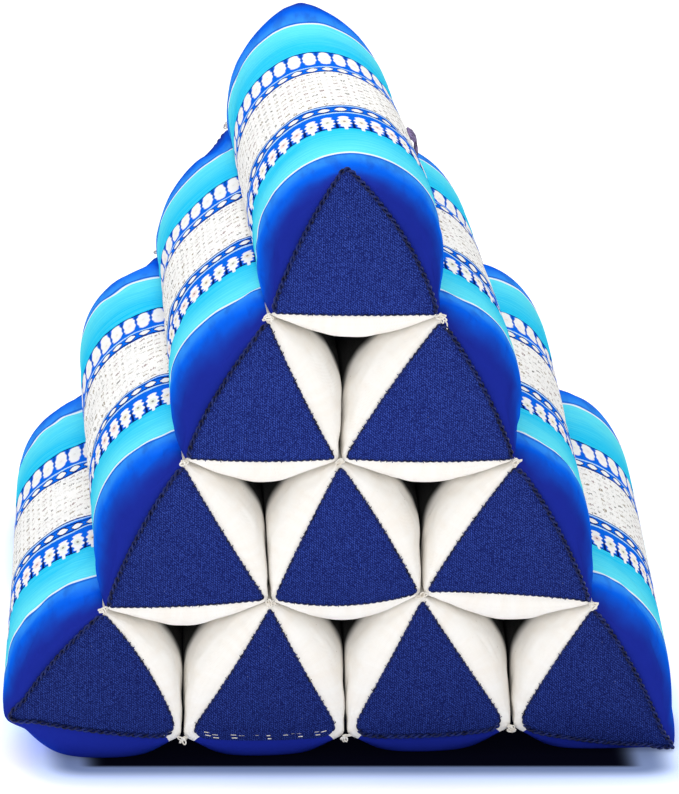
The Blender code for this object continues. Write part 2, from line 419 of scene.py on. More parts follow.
def keep_in_place(roll, cover, ring_step, row):
    """Reads the stuffed shape, limits how far it moved, and leaves no modifier on it."""
    before, after = (np.zeros(len(row) * 3) for _ in range(2))
    cover.data.vertices.foreach_get("co", before)
    stuffed = cover.evaluated_get(bpy.context.evaluated_depsgraph_get())
    stuffed.data.vertices.foreach_get("co", after)
    before, after = before.reshape(-1, 3), after.reshape(-1, 3)
    move = after - before
    length = np.linalg.norm(move, axis=1, keepdims=True)
    move *= MOST_MOVE / np.maximum(length + MOST_MOVE * np.exp(-length / MOST_MOVE), MOST_MOVE)
    for index, side in enumerate(roll.sides):
        here = ring_step // STEPS == index
        if side[2] == "channel":
            move[here] *= CHANNEL_MOVE
        elif side[2] == "floor":
            step = ring_step[here] % STEPS
            if side[1] in OUTER_CORNERS:
                step = STEPS - step
            elif side[0] not in OUTER_CORNERS:
                step = np.full(len(step), 4)
            move[here] *= np.clip(1.0 - step / 4.0, 0.0, 1.0)[:, None]
    after = before + move
    for j in range(STATIONS + 1):
        along = station(j)
        for index, side in enumerate(roll.sides):
            here = (row == j) & (ring_step // STEPS == index)
            for point, normal, clearance in roll.limits(side, along):
                flat = after[here][:, [0, 2]]
                over = np.minimum((point - flat) @ normal - clearance, 0.0)
                flat = flat + np.outer(over, normal)
                after[here] = np.column_stack((flat[:, 0], after[here][:, 1], flat[:, 1]))
    cover.modifiers.clear()
    cover.data.vertices.foreach_set("co", after.ravel())
    cover.data.update()
    return float(length.max())


def stuff(pairs):
    """Fills every cover with pressure, over twenty frames."""
    held = [pin_and_press(roll, cover) for roll, cover in pairs]
    for step in range(1, 21):
        scene.frame_set(step)
    for (roll, cover), (ring_step, row) in zip(pairs, held):
        most = keep_in_place(roll, cover, ring_step, row)
        print(f"cover {roll.name} moved up to {most * 1000:.1f} mm before the cap")
    scene.frame_set(1)


# %% [markdown]
# ## Cloth and thread as materials
# Each material is a small network of nodes. A few helpers write them in the order in which a
# weaver would think: where am I on the cloth, which thread is on top here, which colour is it,
# and how far does it stand up.

# %% Helpers for wiring a material


class Amount:
    """A number that changes over the cloth. Arithmetic with it wires Math nodes."""

    def __init__(self, weave, socket):
        self.weave, self.socket = weave, socket

    def __abs__(self):
        return self.weave.math("ABSOLUTE", self)


for sign, name in (("add", "ADD"), ("sub", "SUBTRACT"), ("mul", "MULTIPLY"),
                   ("truediv", "DIVIDE"), ("pow", "POWER")):
    setattr(Amount, f"__{sign}__", lambda a, b, name=name: a.weave.math(name, a, b))
    setattr(Amount, f"__r{sign}__", lambda a, b, name=name: a.weave.math(name, b, a))


class Weave:
    """Wires one cloth material, node by node."""

    def __init__(self, name, roughness, sheen=0.0, specular=0.1):
        self.material = bpy.data.materials.new(name)
        self.material.use_nodes = True
        self.tree = self.material.node_tree
        self.shader = self.tree.nodes["Principled BSDF"]
        self.shader.inputs["Roughness"].default_value = roughness
        self.shader.inputs["Sheen Weight"].default_value = sheen
        self.shader.inputs["Sheen Roughness"].default_value = 0.45
        self.shader.inputs["Specular IOR Level"].default_value = specular

    def wire(self, kind, values, output=0, **settings):
        node = self.tree.nodes.new(kind)
        for key, value in settings.items():
            setattr(node, key, value)
        for place, value in values.items():
            if isinstance(value, Amount):
                self.tree.links.new(value.socket, node.inputs[place])
            else:
                node.inputs[place].default_value = value
        return Amount(self, node.outputs[output])

    def math(self, operation, *values):
        return self.wire("ShaderNodeMath", dict(enumerate(values)), operation=operation)

    def after(self, x, edge, soft):
        """0 before an edge and 1 after it."""
        return self.wire("ShaderNodeMapRange", {0: x, 1: edge - soft, 2: edge + soft},
                         interpolation_type="SMOOTHSTEP")

    def between(self, x, low, high, soft):
        return self.after(x, low, soft) * (1.0 - self.after(x, high, soft))

    def blend(self, share, first, second):
        return self.wire("ShaderNodeMix", {0: share, 6: first, 7: second}, 2,
                         data_type="RGBA")

    def place(self):
        """Distance round the roll and along it, in millimetres of cloth."""
        return self.in_mm(self.wire("ShaderNodeUVMap", {}, uv_map="cloth"), 2)

    def solid_place(self):
        return self.in_mm(self.wire("ShaderNodeTexCoord", {}, 3), 3)

    def in_mm(self, where, count):
        split = self.wire("ShaderNodeSeparateXYZ", {0: where}).socket.node
        return [Amount(self, split.outputs[k]) * 1000.0 for k in range(count)]

    def point(self, x, y, z=0.0):
        return self.wire("ShaderNodeCombineXYZ", {0: x, 1: y, 2: z})

    def noise(self, where, scale, detail=2.0, roughness=0.5):
        return self.wire("ShaderNodeTexNoise", {"Vector": where, "Scale": scale,
                                                "Detail": detail, "Roughness": roughness})

    def chance(self, where):
        return self.wire("ShaderNodeTexWhiteNoise", {0: where}, noise_dimensions="3D")

    def specks(self, where, scale, size, soft):
        """1 in small spots that lie scattered, and 0 between them."""
        cell = self.wire("ShaderNodeTexVoronoi", {"Vector": where, "Scale": scale})
        return 1.0 - self.after(cell, size, soft)

    def pick(self, share, colours):
        """One of three colours, each (from this share on, colour)."""
        hues = self.wire("ShaderNodeValToRGB", {0: share})
        ramp = hues.socket.node.color_ramp
        ramp.interpolation = "CONSTANT"
        ramp.elements[0].color = colours[0][1]
        ramp.elements[1].position, ramp.elements[1].color = colours[1]
        ramp.elements.new(colours[2][0]).color = colours[2][1]
        return hues

    def plug(self, value, name):
        self.tree.links.new(value.socket, self.shader.inputs[name])

    def finish(self, colour, height=None, relief=0.0004, strength=0.6):
        self.plug(colour, "Base Color")
        if height is not None:
            self.plug(self.wire("ShaderNodeBump", {"Height": height, "Distance": relief,
                                                   "Strength": strength}), "Normal")
        return self.material


def rgb(red, green, blue):
    return (red, green, blue, 1.0)


# %% [markdown]
# ### The striped cloth
# Seen from either end the stripes come in one order: royal blue, a hairline of pale thread,
# turquoise, a band of small woven flowers between blue lines, and an off-white middle with
# rows of tiny figures. The chart below gives each stripe's distance from the end in
# millimetres. The flowers of the front band have a small foot that crosses into the
# turquoise, and the band at the back is a little narrower.

# %% Chart of the stripes
ROYAL_END = 42.7
PALE_LINE = (42.8, 44.9)
FAR_NARROWER = 7.5         # how much less royal blue there is at the back
FLOWERS_FROM = 82.3
FLOWER_PITCH = 8.75
CHARTS = {
    # flower: middle, half length, half width, ripple of its edge; then the other threads
    "near": {"flower": (10.6, 9.3, 3.55, 0.16), "foot": True, "width": 40.0,
             "pale": ((25.2, 27.0), (37.2, 38.5)), "dark": ((27.5, 28.5), (34.8, 35.7),
                                                            (39.0, 40.0)),
             "lens": (31.6, 2.9, 3.5)},
    "far": {"flower": (10.9, 10.8, 3.95, 0.06), "foot": False, "width": 35.0,
            "pale": ((24.8, 26.2),), "dark": ((33.6, 34.8),), "lens": (30.0, 3.0, 3.4)},
}
# The first three royal blues are one colour in painted shade, plain and in painted highlight; the darkest
# also lies in random patches.
ROYAL_SHADE_AND_MOTTLE = rgb(0.012, 0.024, 0.29)
ROYAL = rgb(0.002, 0.125, 0.82)
ROYAL_LIT = rgb(0.035, 0.275, 0.88)
ROYAL_RIM = rgb(0.008, 0.085, 0.52)
TURQUOISE = rgb(0.004, 0.52, 0.86)
# Paler turquoise, for painted sheen and for streaks of tone.
TURQUOISE_PALE = rgb(0.150, 0.80, 0.90)
BAND_BLUE = rgb(0.004, 0.135, 0.76)
BAND_NAVY = rgb(0.003, 0.012, 0.13)
PALE_THREAD = rgb(0.46, 0.70, 0.90)
PALEST = rgb(0.78, 0.86, 0.92)
WHITE = rgb(0.89, 0.88, 0.865)
OFF_WHITE = rgb(0.90, 0.895, 0.88)
HEART_HUES = ((0.0, rgb(0.80, 0.45, 0.45)), (0.35, rgb(0.78, 0.66, 0.45)),
              (0.70, rgb(0.62, 0.70, 0.52)))
FIGURE_HUES = ((0.0, rgb(0.13, 0.13, 0.12)), (0.45, rgb(0.24, 0.19, 0.12)),
               (0.75, rgb(0.30, 0.22, 0.22)))


def flower_band(weave, chart, round_it, s):
    """The colour of the flower band and how white it is, s mm from the turquoise."""
    unit_ = weave.math("FRACT", round_it / FLOWER_PITCH)
    x = (unit_ - 0.5) * FLOWER_PITCH
    middle, half_length, half_width, ripple = chart["flower"]
    t = (s - middle) / half_length
    across = x / half_width
    lobes = weave.math("COSINE", t * 11.5) * ripple
    size = weave.math("SQRT", abs(t) ** 2.6 + abs(across) ** 2.0)
    petals = 1.0 - weave.after(size + lobes, 0.93, 0.1)
    between_them = weave.after(abs(x), FLOWER_PITCH / 2 - 0.8, 0.35)
    near_edge = between_them * (1.0 - weave.after(s, 11.0, 6.0))
    ground = weave.blend(near_edge * (1.0 if chart["foot"] else 0.5), BAND_BLUE, BAND_NAVY)
    ground = weave.blend(weave.after(s, middle + half_length + 0.5, 1.2), ground, BAND_BLUE)
    rim = weave.between(s, -0.7, 0.7, 0.25)
    ground = weave.blend(rim, ground, BAND_NAVY)
    for low, high in chart["dark"]:
        ground = weave.blend(weave.between(s, low, high, 0.2), ground, BAND_NAVY)
    for low, high in chart["pale"]:
        ground = weave.blend(weave.between(s, low, high, 0.2), ground, PALE_THREAD)
    lens_at, lens_high, lens_half = chart["lens"]
    share = x / lens_half
    reach = share * share + abs(s - lens_at) / lens_high
    ground = weave.blend(1.0 - weave.after(reach, 1.22, 0.12), ground, BAND_NAVY)
    lens = 1.0 - weave.after(reach, 0.9, 0.08)
    white = weave.math("MAXIMUM", petals, lens)
    if chart["foot"]:
        foot = weave.between(s, -2.6, 2.6, 0.4) * (1.0 - weave.after(abs(x), 0.95, 0.25))
        white = weave.math("MAXIMUM", white, foot)
    cell = weave.math("FLOOR", round_it / FLOWER_PITCH)
    which = weave.chance(weave.point(cell, middle))
    eye = across * across * 1.25 + t * t * 4.5
    heart = 1.0 - weave.after(eye, 0.055, 0.03)
    eye = 1.0 - weave.after(eye, 0.45, 0.25)
    hues = weave.pick(which, HEART_HUES)
    flower = weave.blend(eye * (0.5 if chart["foot"] else 0.1), WHITE, hues)
    flower = weave.blend(heart * (0.8 if chart["foot"] else 0.12), flower, rgb(0.16, 0.12, 0.12))
    return (weave.blend(white, ground, flower), white)


# %% The off-white middle, with rows of tiny figures
FIGURE_ACROSS = FLOWER_PITCH / 2.0
FIGURE_ALONG = 6.1


def figured_middle(weave, round_it, along):
    """Columns of dashes, dots and small rings, every second row paler, with fine flecks."""
    across = round_it / FIGURE_ACROSS
    down = along / FIGURE_ALONG
    column, row = (weave.math("FLOOR", across), weave.math("FLOOR", down))
    kind = weave.chance(weave.point(column, 8.0, 3.0))
    luck = weave.chance(weave.point(column, row, 3.0))
    second = weave.math("FLOORED_MODULO", row + column, 2.0)
    wobble = weave.noise(weave.point(round_it, along), 0.9, 1.0)
    x = (weave.math("FRACT", across) - 0.5) * FIGURE_ACROSS
    y = (weave.math("FRACT", down) - wobble) * FIGURE_ALONG
    size = weave.math("SQRT", x * x + y * y)
    ring = weave.between(size, 0.55, 1.35, 0.2)
    tilted = y + x * 0.35
    dash = weave.between(x, -1.75, 1.65, 0.2) * weave.between(tilted, -0.62, 0.62, 0.2)
    dot = 1.0 - weave.after(size, 0.85, 0.25)
    shape = weave.wire("ShaderNodeMix", {0: weave.after(kind, 0.4, 0.001), 2: dash, 3: dot})
    shape = weave.wire("ShaderNodeMix", {0: weave.after(kind, 0.72, 0.001), 2: shape, 3: ring})
    strong = weave.wire("ShaderNodeMix", {0: second, 2: 0.95, 3: 0.45})
    shown = shape * strong * weave.after(luck, 0.1, 0.1)
    hues = weave.pick(luck, FIGURE_HUES)
    flecks = weave.specks(weave.point(round_it, along), 0.62, 0.26, 0.08)
    ground = weave.blend(flecks * 0.42, OFF_WHITE, rgb(0.44, 0.4, 0.33))
    return weave.blend(shown, ground, hues)


# %% The striped cloth, put together


def make_banded_cloth():
    weave = Weave("striped_cotton", 0.65, specular=0.0)
    round_it, along = weave.place()
    where = weave.point(round_it, along)
    wander = weave.noise(weave.point(round_it * 0.06, along), 0.35, 3.0)
    from_end = 150.0 - abs(along - 150.0)
    d = from_end + (wander - 0.5) * 1.1
    streaks = weave.noise(weave.point(round_it * 0.02, along), 0.9, 4.0)
    clouds = weave.noise(where, 0.045, 3.0)
    patches = (clouds - 0.5) * 14.0
    narrower = weave.after(along, 150.0, 0.01) * FAR_NARROWER
    inwards = from_end + patches + narrower
    at_line = d + narrower
    # Painted shade and painted highlight: the royal blue is darkest where the cover turns in to the end cloth
    # and palest further in.
    royal = weave.blend(weave.after(inwards, 15.0, 13.0), ROYAL_SHADE_AND_MOTTLE, ROYAL)
    royal = weave.blend(weave.after(inwards, 31.0, 9.0), royal, ROYAL_LIT)
    # Random patches of the darkest blue, as tone that varies over the cloth.
    across_it = weave.noise(weave.point(round_it * 0.35, along * 0.12), 0.32, 3.0)
    royal = weave.blend(weave.after(across_it, 0.58, 0.12) * 0.3, royal, ROYAL_SHADE_AND_MOTTLE)
    # Painted sheen: the turquoise is paler next to the pale line. Pale streaks round the roll add tone that
    # varies at random.
    outer = 1.0 - weave.after(inwards, 64.0, 20.0)
    streaks_and_sheen = weave.after(streaks, 0.52, 0.2) * 0.35 + outer * 0.65
    turquoise = weave.blend(streaks_and_sheen, TURQUOISE, TURQUOISE_PALE)
    rim = weave.between(at_line, ROYAL_END - 2.2, ROYAL_END + 0.5, 0.5)
    colour = weave.blend(rim * 0.6, royal, ROYAL_RIM)
    colour = weave.blend(weave.after(at_line, PALE_LINE[0], 0.15), colour, PALEST)
    colour = weave.blend(weave.after(at_line, PALE_LINE[1], 0.3), colour, turquoise)
    ragged = weave.noise(where, 1.1, 2.0)
    s = d - FLOWERS_FROM + (ragged - 0.5) * 1.2
    middle = figured_middle(weave, round_it, along)
    bands = []
    for side in ("near", "far"):
        chart = CHARTS[side]
        band, white = flower_band(weave, chart, round_it, s)
        feet = white * weave.between(s, -2.8, 0.0, 0.2)
        part = weave.blend(weave.math("MAXIMUM", weave.after(s, -0.5, 0.2), feet), colour, band)
        bands.append(weave.blend(weave.after(s, chart["width"], 0.25), part, middle))
    colour = weave.blend(weave.after(along, 150.0, 0.01), *bands)
    threads = weave.math("SINE", round_it * 8.0) * weave.math("SINE", along * 8.0)
    folds = weave.noise(weave.point(round_it * 0.5, along), 0.12, 3.0)
    height = threads * 0.1 + folds * 1.6
    return weave.finish(colour, height, relief=0.001, strength=0.45)


banded_cloth = make_banded_cloth()
print(f"striped cloth: {len(banded_cloth.node_tree.nodes)} nodes")

# %% [markdown]
# ### Calico, end cloth and thread
# The walls of the channels are unbleached calico: warm white, a plain weave, with darker
# flecks of husk. From 2.5 cm inside it is painted nearly black, as deep channels look in the
# picture: the even light here would show them grey. The real cloth is pale there too. The end
# cloth is a navy twill, whose fine diagonal is paler where the weft shows; lower down it is
# painted darker, as painted shade. Thread is darker than the cloth it holds.

# %% Calico


def make_calico():
    weave = Weave("calico", 0.85, sheen=0.05, specular=0.1)
    round_it, along = weave.place()
    where = weave.point(round_it, along)
    clouds = weave.noise(where, 0.06, 4.0, 0.6)
    slubs = weave.noise(weave.point(round_it * 0.08, along), 0.8, 2.0)
    colour = weave.blend(weave.after(clouds, 0.52, 0.2), rgb(0.95, 0.93, 0.89),
                         rgb(0.92, 0.87, 0.80))
    colour = weave.blend(weave.after(slubs, 0.62, 0.08) * 0.35, colour, rgb(0.94, 0.91, 0.87))
    flecks = weave.specks(where, 0.16, 0.05, 0.02)
    colour = weave.blend(flecks * 0.55, colour, rgb(0.3, 0.22, 0.16))
    from_end = 150.0 - abs(along - 150.0)
    colour = weave.blend(weave.after(from_end, 24.0, 5.0), colour, rgb(0.002, 0.0015, 0.0015))
    threads = weave.math("SINE", round_it * 6.5) * weave.math("SINE", along * 6.5)
    creases = weave.noise(weave.point(round_it, along * 0.35), 0.16, 4.0)
    height = threads * 0.16 + creases * 1.5
    return weave.finish(colour, height, relief=0.0009, strength=0.5)


calico_cloth = make_calico()

# %% End cloth: navy twill


def make_twill():
    weave = Weave("navy_twill", 0.8, specular=0.06)
    x, y, z = weave.solid_place()
    where = weave.point(x, y, z)
    diagonal = x * 1.0 + z * 1.25
    wobble = weave.noise(where, 0.5, 2.0)
    ribs = weave.math("SINE", diagonal * 3.6 + wobble * 4.0)
    weft = weave.math("SINE", x * 5.4 + wobble * 3.0)
    speckle = weave.noise(where, 1.35, 2.0, 0.75)
    light = weave.after(ribs + weft, -0.1, 0.8) * weave.after(speckle, 0.5, 0.08)
    clouds = weave.noise(where, 0.035, 3.0)
    ground = weave.blend(clouds, rgb(0.005, 0.011, 0.105), rgb(0.007, 0.015, 0.14))
    # Painted shade: the end cloth is darker lower down, and its pale threads fainter.
    painted_light_by_height = weave.after(z, 120.0, 120.0)
    ground = weave.blend(painted_light_by_height, rgb(0.004, 0.009, 0.085), ground)
    light = light * (0.42 + painted_light_by_height * 0.24)
    colour = weave.blend(light, ground, rgb(0.055, 0.115, 0.56))
    lint = weave.specks(where, 0.14, 0.028, 0.015)
    colour = weave.blend(lint * 0.35, colour, rgb(0.45, 0.5, 0.75))
    height = ribs * 0.25 + speckle * 0.5
    return weave.finish(colour, height, relief=0.0004, strength=0.5)


twill = make_twill()

# %% Threads and the tab's cloth


def make_thread(name, dark, light, roughness):
    weave = Weave(name, roughness, specular=0.2)
    x, y, z = weave.solid_place()
    where = weave.point(x, y, z)
    fuzz = weave.noise(where, 1.6, 3.0)
    patches_and_glints = weave.noise(where, 0.35, 2.0)
    # On the navy thread the lighter patches are painted glints; on the cream thread and the tab the two
    # colours lie in random patches.
    colour = weave.blend(weave.after(patches_and_glints, 0.5, 0.2), dark, light)
    return weave.finish(colour, fuzz, relief=0.0002, strength=0.4)


navy_thread = make_thread("navy_thread", rgb(0.0012, 0.0025, 0.022), rgb(0.010, 0.022, 0.15), 0.34)
cream_thread = make_thread("cream_thread", rgb(0.72, 0.66, 0.57), rgb(0.88, 0.85, 0.79), 0.8)
tab_cloth = make_thread("tab_cloth", rgb(0.060, 0.040, 0.085), rgb(0.24, 0.18, 0.38), 0.6)
print("materials:", [m.name for m in bpy.data.materials if m.users or m.use_fake_user][-6:])

# %% [markdown]
# ## Covers made, stuffed and put in place of the solids
# One level of subdivision then rounds the grid.

# %% The ten covers
covers = [(roll, roll_cover(roll, banded_cloth, calico_cloth)) for roll in rolls]
stuff(covers)


def subdivide(piece, levels=1):
    finer = piece.modifiers.new("finer", "SUBSURF")
    finer.levels = finer.render_levels = levels


for roll, cover in covers:
    subdivide(cover)
    stands_for(cover, f"roll_{roll.name}")
print(f"{len(covers)} covers")

# %% [markdown]
# ## The end cloths
# Each end is closed by a triangle of twill, stretched over the stuffing. It starts as a ring
# of points on the roll's outline, and the ring is extruded inwards until it closes. The cloth
# stands highest in its middle, and it is drawn in by small gathers along its stitched edge.

# %% One end cloth
END_STEPS = 32
END_RINGS = 11
CROWN = 0.0030
RIM, RIM_UNDER = 0.0012, 0.0020
# How much more calico the sewer left bare at the middle of some edges, in mm.
BARE = {("1_1", "under"): 1.3, ("2_1", "right"): 3.8, ("3_1", "right"): 3.3, ("3_2", "left"): 1.5,
        ("3_3", "under"): 4.2, ("4_2", "right"): 3.5, ("4_2", "left"): 4.3, ("4_3", "right"): 2.8,
        ("4_3", "left"): 2.8, ("4_4", "left"): 1.0}


def shift_out(outline, amount):
    """Moves a closed outline outwards by an amount, along its own normals."""
    ahead = np.roll(outline, -1, 0) - np.roll(outline, 1, 0)
    ahead /= np.linalg.norm(ahead, axis=1, keepdims=True)
    return outline + np.column_stack((ahead[:, 1], -ahead[:, 0])) * np.reshape(amount, (-1, 1))


def end_outline(roll, along):
    """The stitched edge of an end cloth: a rim of calico is left bare along each channel."""
    outline = roll.outline(along, END_STEPS)
    inset = np.full(len(outline), 0.0004)
    for index, side in enumerate(roll.sides):
        if side[2] == "channel":
            name = edge_name(side)
            bare = BARE.get((roll.name, name), 0.5) * 0.001
            hump = np.sin(np.linspace(0.0, math.pi, END_STEPS, endpoint=False)) ** 0.7
            rim = (RIM_UNDER if name == "under" else RIM) + bare * hump
            inset[index * END_STEPS:(index + 1) * END_STEPS] = rim
    for _ in range(4):
        inset = (np.roll(inset, 1) + inset * 2.0 + np.roll(inset, -1)) / 4.0
    outline = shift_out(outline, -inset)
    for reach, passes, low in ((2, 2, False), (5, 14, True)):
        soft = np.zeros(len(outline))
        for index, side in enumerate(roll.sides):
            if side[0] not in OUTER_CORNERS and (side[0][1] == 0 or not low):
                for off in range(-reach, reach + 1):
                    soft[(index * END_STEPS + off) % len(outline)] = 1.0 - abs(off) / (reach + 1.0)
        for _ in range(passes):
            even = (np.roll(outline, 1, 0) + np.roll(outline, -1, 0)) / 2.0
            outline = outline + (even - outline) * soft[:, None]
    return outline


def make_end_cloth(roll, outward):
    along = 0.0 if outward < 0 else 1.0
    outline = end_outline(roll, along)
    middle = outline.mean(axis=0)
    count = len(outline)
    bm = bmesh.new()
    bmesh.ops.create_circle(bm, cap_ends=False, segments=count, radius=1.0)
    rng = np.random.default_rng(roll.seed + (100 if outward > 0 else 0))
    gathers = np.interp(np.arange(count) * 4.0, np.arange(count * 4 + 1),
                        rng.uniform(-1.0, 1.0, count * 4 + 1))
    edges = list(bm.edges)
    ring = list(bm.verts)
    for level in range(END_RINGS + 1):
        share = 1.0 - (level / (END_RINGS + 0.5)) ** 0.85
        for index, v in enumerate(ring):
            p = middle + (outline[index] - middle) * share
            depth = CROWN * (1.0 - share * share)
            near_edge = math.exp(-(1.0 - share) / 0.10) * min((1.0 - share) / 0.03, 1.0)
            lift = depth + 0.0002 + 0.00045 * gathers[index] * near_edge
            v.co = (p[0], outward * (HALF_LENGTH + lift), p[1])
        if level < END_RINGS:
            made = bmesh.ops.extrude_edge_only(bm, edges=edges)["geom"]
            fresh = [g for g in made if isinstance(g, bmesh.types.BMVert)]
            by_place = {tuple(round(c, 7) for c in v.co): v for v in fresh}
            ring = [by_place[tuple(round(c, 7) for c in v.co)] for v in ring]
            inner = set(ring)
            edges = [g for g in made if isinstance(g, bmesh.types.BMEdge)
                     and g.verts[0] in inner and g.verts[1] in inner]
    fill = bmesh.ops.contextual_create(bm, geom=edges)["faces"]
    bmesh.ops.poke(bm, faces=fill)
    bmesh.ops.recalc_face_normals(bm, faces=bm.faces)
    if sum(f.normal.y * f.calc_area() for f in bm.faces) * outward < 0:
        bmesh.ops.reverse_faces(bm, faces=bm.faces)
    for face in bm.faces:
        face.smooth = True
    side = "front" if outward < 0 else "back"
    cloth = cut_out(bm, f"end_cloth_{side}_{roll.name}", twill)
    stands_for(cloth, f"{side}_panel_{roll.name}")
    return cloth


end_cloths = [make_end_cloth(roll, outward) for roll in rolls for outward in (-1, 1)]
print(f"{len(end_cloths)} end cloths")

# %% [markdown]
# ## The sewing
# The outer edge of every end cloth carries a thick two-strand cord stitch, but for the second
# roll of the lowest row. Towards the calico the edge is only oversewn, so short thread ends lie
# across it. All of it is made of curves with a round section, turned into meshes, because thread
# is what a curve is best at.

# %% Thread along a path
ENDS = (("front", -1, 0.0), ("back", 1, 1.0))


def lay_thread(name, paths, radius, material, sides=1):
    """One mesh of round threads, each along a list of points."""
    curve = bpy.data.curves.new(name, "CURVE")
    curve.dimensions = "3D"
    curve.bevel_depth = radius
    curve.bevel_resolution = sides
    curve.use_fill_caps = True
    for points in paths:
        spline = curve.splines.new("POLY")
        spline.points.add(len(points) - 1)
        for target, p in zip(spline.points, points):
            target.co = (*p, 1.0)
    thing = bpy.data.objects.new(name, curve)
    mesh = bpy.data.meshes.new_from_object(thing)
    bpy.data.objects.remove(thing)
    bpy.data.curves.remove(curve)
    mesh.name = name
    mesh.materials.clear()
    mesh.materials.append(material)
    mesh.shade_smooth()
    piece = bpy.data.objects.new(name, mesh)
    scene.collection.objects.link(piece)
    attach(piece, "root")


def even_path(points, step):
    """The path with its points an even step apart, how far along each is, and the way ahead
    and outwards at each."""
    gaps = np.linalg.norm(np.diff(points, axis=0), axis=1)
    reach = np.concatenate(([0.0], np.cumsum(gaps)))
    places = np.linspace(0.0, reach[-1], max(int(round(reach[-1] / step)), 2) + 1)
    even = np.column_stack([np.interp(places, reach, points[:, k]) for k in (0, 1)])
    ahead = np.gradient(even, axis=0)
    ahead /= np.linalg.norm(ahead, axis=1, keepdims=True)
    return even, places, ahead, np.column_stack((ahead[:, 1], -ahead[:, 0]))


def edge_runs(roll, along, kinds):
    """The stretches of an end's outline whose sides face one of these kinds, as paths."""
    outline = end_outline(roll, along)
    runs, going_on = [], False
    for index, side in enumerate(roll.sides):
        if side[2] in kinds:
            if not going_on:
                runs.append([])
            first, last = index * END_STEPS, (index + 1) * END_STEPS
            runs[-1] += [outline[first:last], outline[[last % len(outline)]]]
        going_on = side[2] in kinds
    return [np.concatenate(run) for run in runs]


# %% The cord stitch on the outer edges
TWIST = 0.0078
STRAND = 0.00062


def cord_paths(path, outward):
    """Two strands wound round each other along a path in the end's plane."""
    fine, reach, _, normal = even_path(path, TWIST / 14.0)
    uneven = 0.15 * np.sin(reach / 0.011) + 0.1 * np.sin(reach / 0.0047 + 1.0)
    strands = []
    for turn in (0.0, math.pi):
        angle = reach / TWIST * 2.0 * math.pi + turn + uneven
        side = np.cos(angle) * STRAND * 1.25 - 0.0003
        lift = 0.0010 + np.sin(angle) * STRAND * 1.10
        at = fine + normal * side[:, None]
        strands.append(np.column_stack((at[:, 0], outward * (HALF_LENGTH + lift), at[:, 1])))
    return strands


for side_name, outward, along in ENDS:
    for roll in rolls:
        kinds = ("free",) if roll.name == "4_2" else ("free", "floor")
        runs = edge_runs(roll, along, kinds)
        strands = [s for run in runs for s in cord_paths(run, outward)]
        if strands:
            lay_thread(f"cord_stitch_{side_name}_{roll.name}", strands, STRAND, navy_thread)
print("cord stitches laid")

# %% The oversewn edges towards the calico
ENDS_APART = 0.0041
HAIR = 0.00024


def oversewn(roll, outward, along, rng):
    """A thin scalloped hem and short thread ends that lie across it."""
    hems, hairs = [], []
    for run in edge_runs(roll, along, ("channel",)):
        fine, reach, ahead, normal = even_path(run, 0.0005)
        scallop = -0.0001 + 0.00055 * np.abs(np.sin(reach / 0.0034 * math.pi))
        at = fine + normal * scallop[:, None]
        hems.append(np.column_stack((at[:, 0], np.full(len(at), outward * (HALF_LENGTH + 0.0002)),
                                     at[:, 1])))
        place = 0.004
        while place < reach[-1] - 0.003:
            k = int(np.searchsorted(reach, place))
            slant = ahead[k] * rng.uniform(-0.0006, 0.0012)
            start = fine[k] - normal[k] * 0.0006
            stop = fine[k] + normal[k] * rng.uniform(0.0004, 0.0016) + slant
            bend = (start + stop) / 2.0
            hairs.append([(start[0], outward * (HALF_LENGTH + 0.0007), start[1]),
                          (bend[0], outward * (HALF_LENGTH + 0.0008), bend[1]),
                          (stop[0], outward * (HALF_LENGTH - 0.0001), stop[1])])
            place += ENDS_APART * rng.uniform(0.6, 1.3)
    return hems, hairs


rng = random.Random(7)
for side_name, outward, along in ENDS:
    hems, hairs = [], []
    for roll in rolls:
        more_hems, more_hairs = oversewn(roll, outward, along, rng)
        hems += more_hems
        hairs += more_hairs
    lay_thread(f"hem_{side_name}", hems, 0.00045, navy_thread)
    lay_thread(f"thread_ends_{side_name}", hairs, HAIR, navy_thread, sides=0)
print("oversewn edges laid")

# %% [markdown]
# Where rolls meet, the sewer's needle has passed many times. The knots there are a few loops
# of thick cream thread, one over the other, and one or two have a loose tail.

# %% Knots where the rolls meet
KNOT_AT = [key for key in seams if key not in OUTER_CORNERS]


def knot_paths(key, outward, along, rng):
    x, z = seam_at(key, along)
    paths = []
    for loop in range(5):
        turn = rng.uniform(0.0, math.pi)
        long_, short = rng.uniform(0.0014, 0.0026), rng.uniform(0.0005, 0.0010)
        cx, cz = x + rng.uniform(-0.0012, 0.0012), z + rng.uniform(-0.0012, 0.0012)
        lift = 0.0004 + 0.0004 * loop
        points = []
        for step in range(17):
            angle = step / 16.0 * 2.0 * math.pi * 0.94
            a, b = long_ * math.cos(angle), short * math.sin(angle)
            points.append((cx + a * math.cos(turn) - b * math.sin(turn),
                           outward * (HALF_LENGTH + lift + 0.0004 * math.sin(angle + loop)),
                           cz + a * math.sin(turn) + b * math.cos(turn)))
        paths.append(points)
    return paths


for side_name, outward, along in ENDS:
    paths = [path for key in KNOT_AT for path in knot_paths(key, outward, along, rng)]
    if outward < 0:
        x, z = seam_at((0.5, 3), along)
        paths.append([(x + 0.001 * k + 0.0012 * math.sin(k), -HALF_LENGTH - 0.0012,
                       z - 0.0016 * k) for k in range(5)])
    lay_thread(f"knots_{side_name}", paths, 0.00042, cream_thread)
print(f"knots at {len(KNOT_AT)} seam lines, both ends")

# %% [markdown]
# One roll of the lowest row has short pale dashes along its bottom edge, as if it was closed
# by hand with white thread. The back end isn't in the picture, and gets the same.

# %% Hand stitches on the second roll of the lowest row


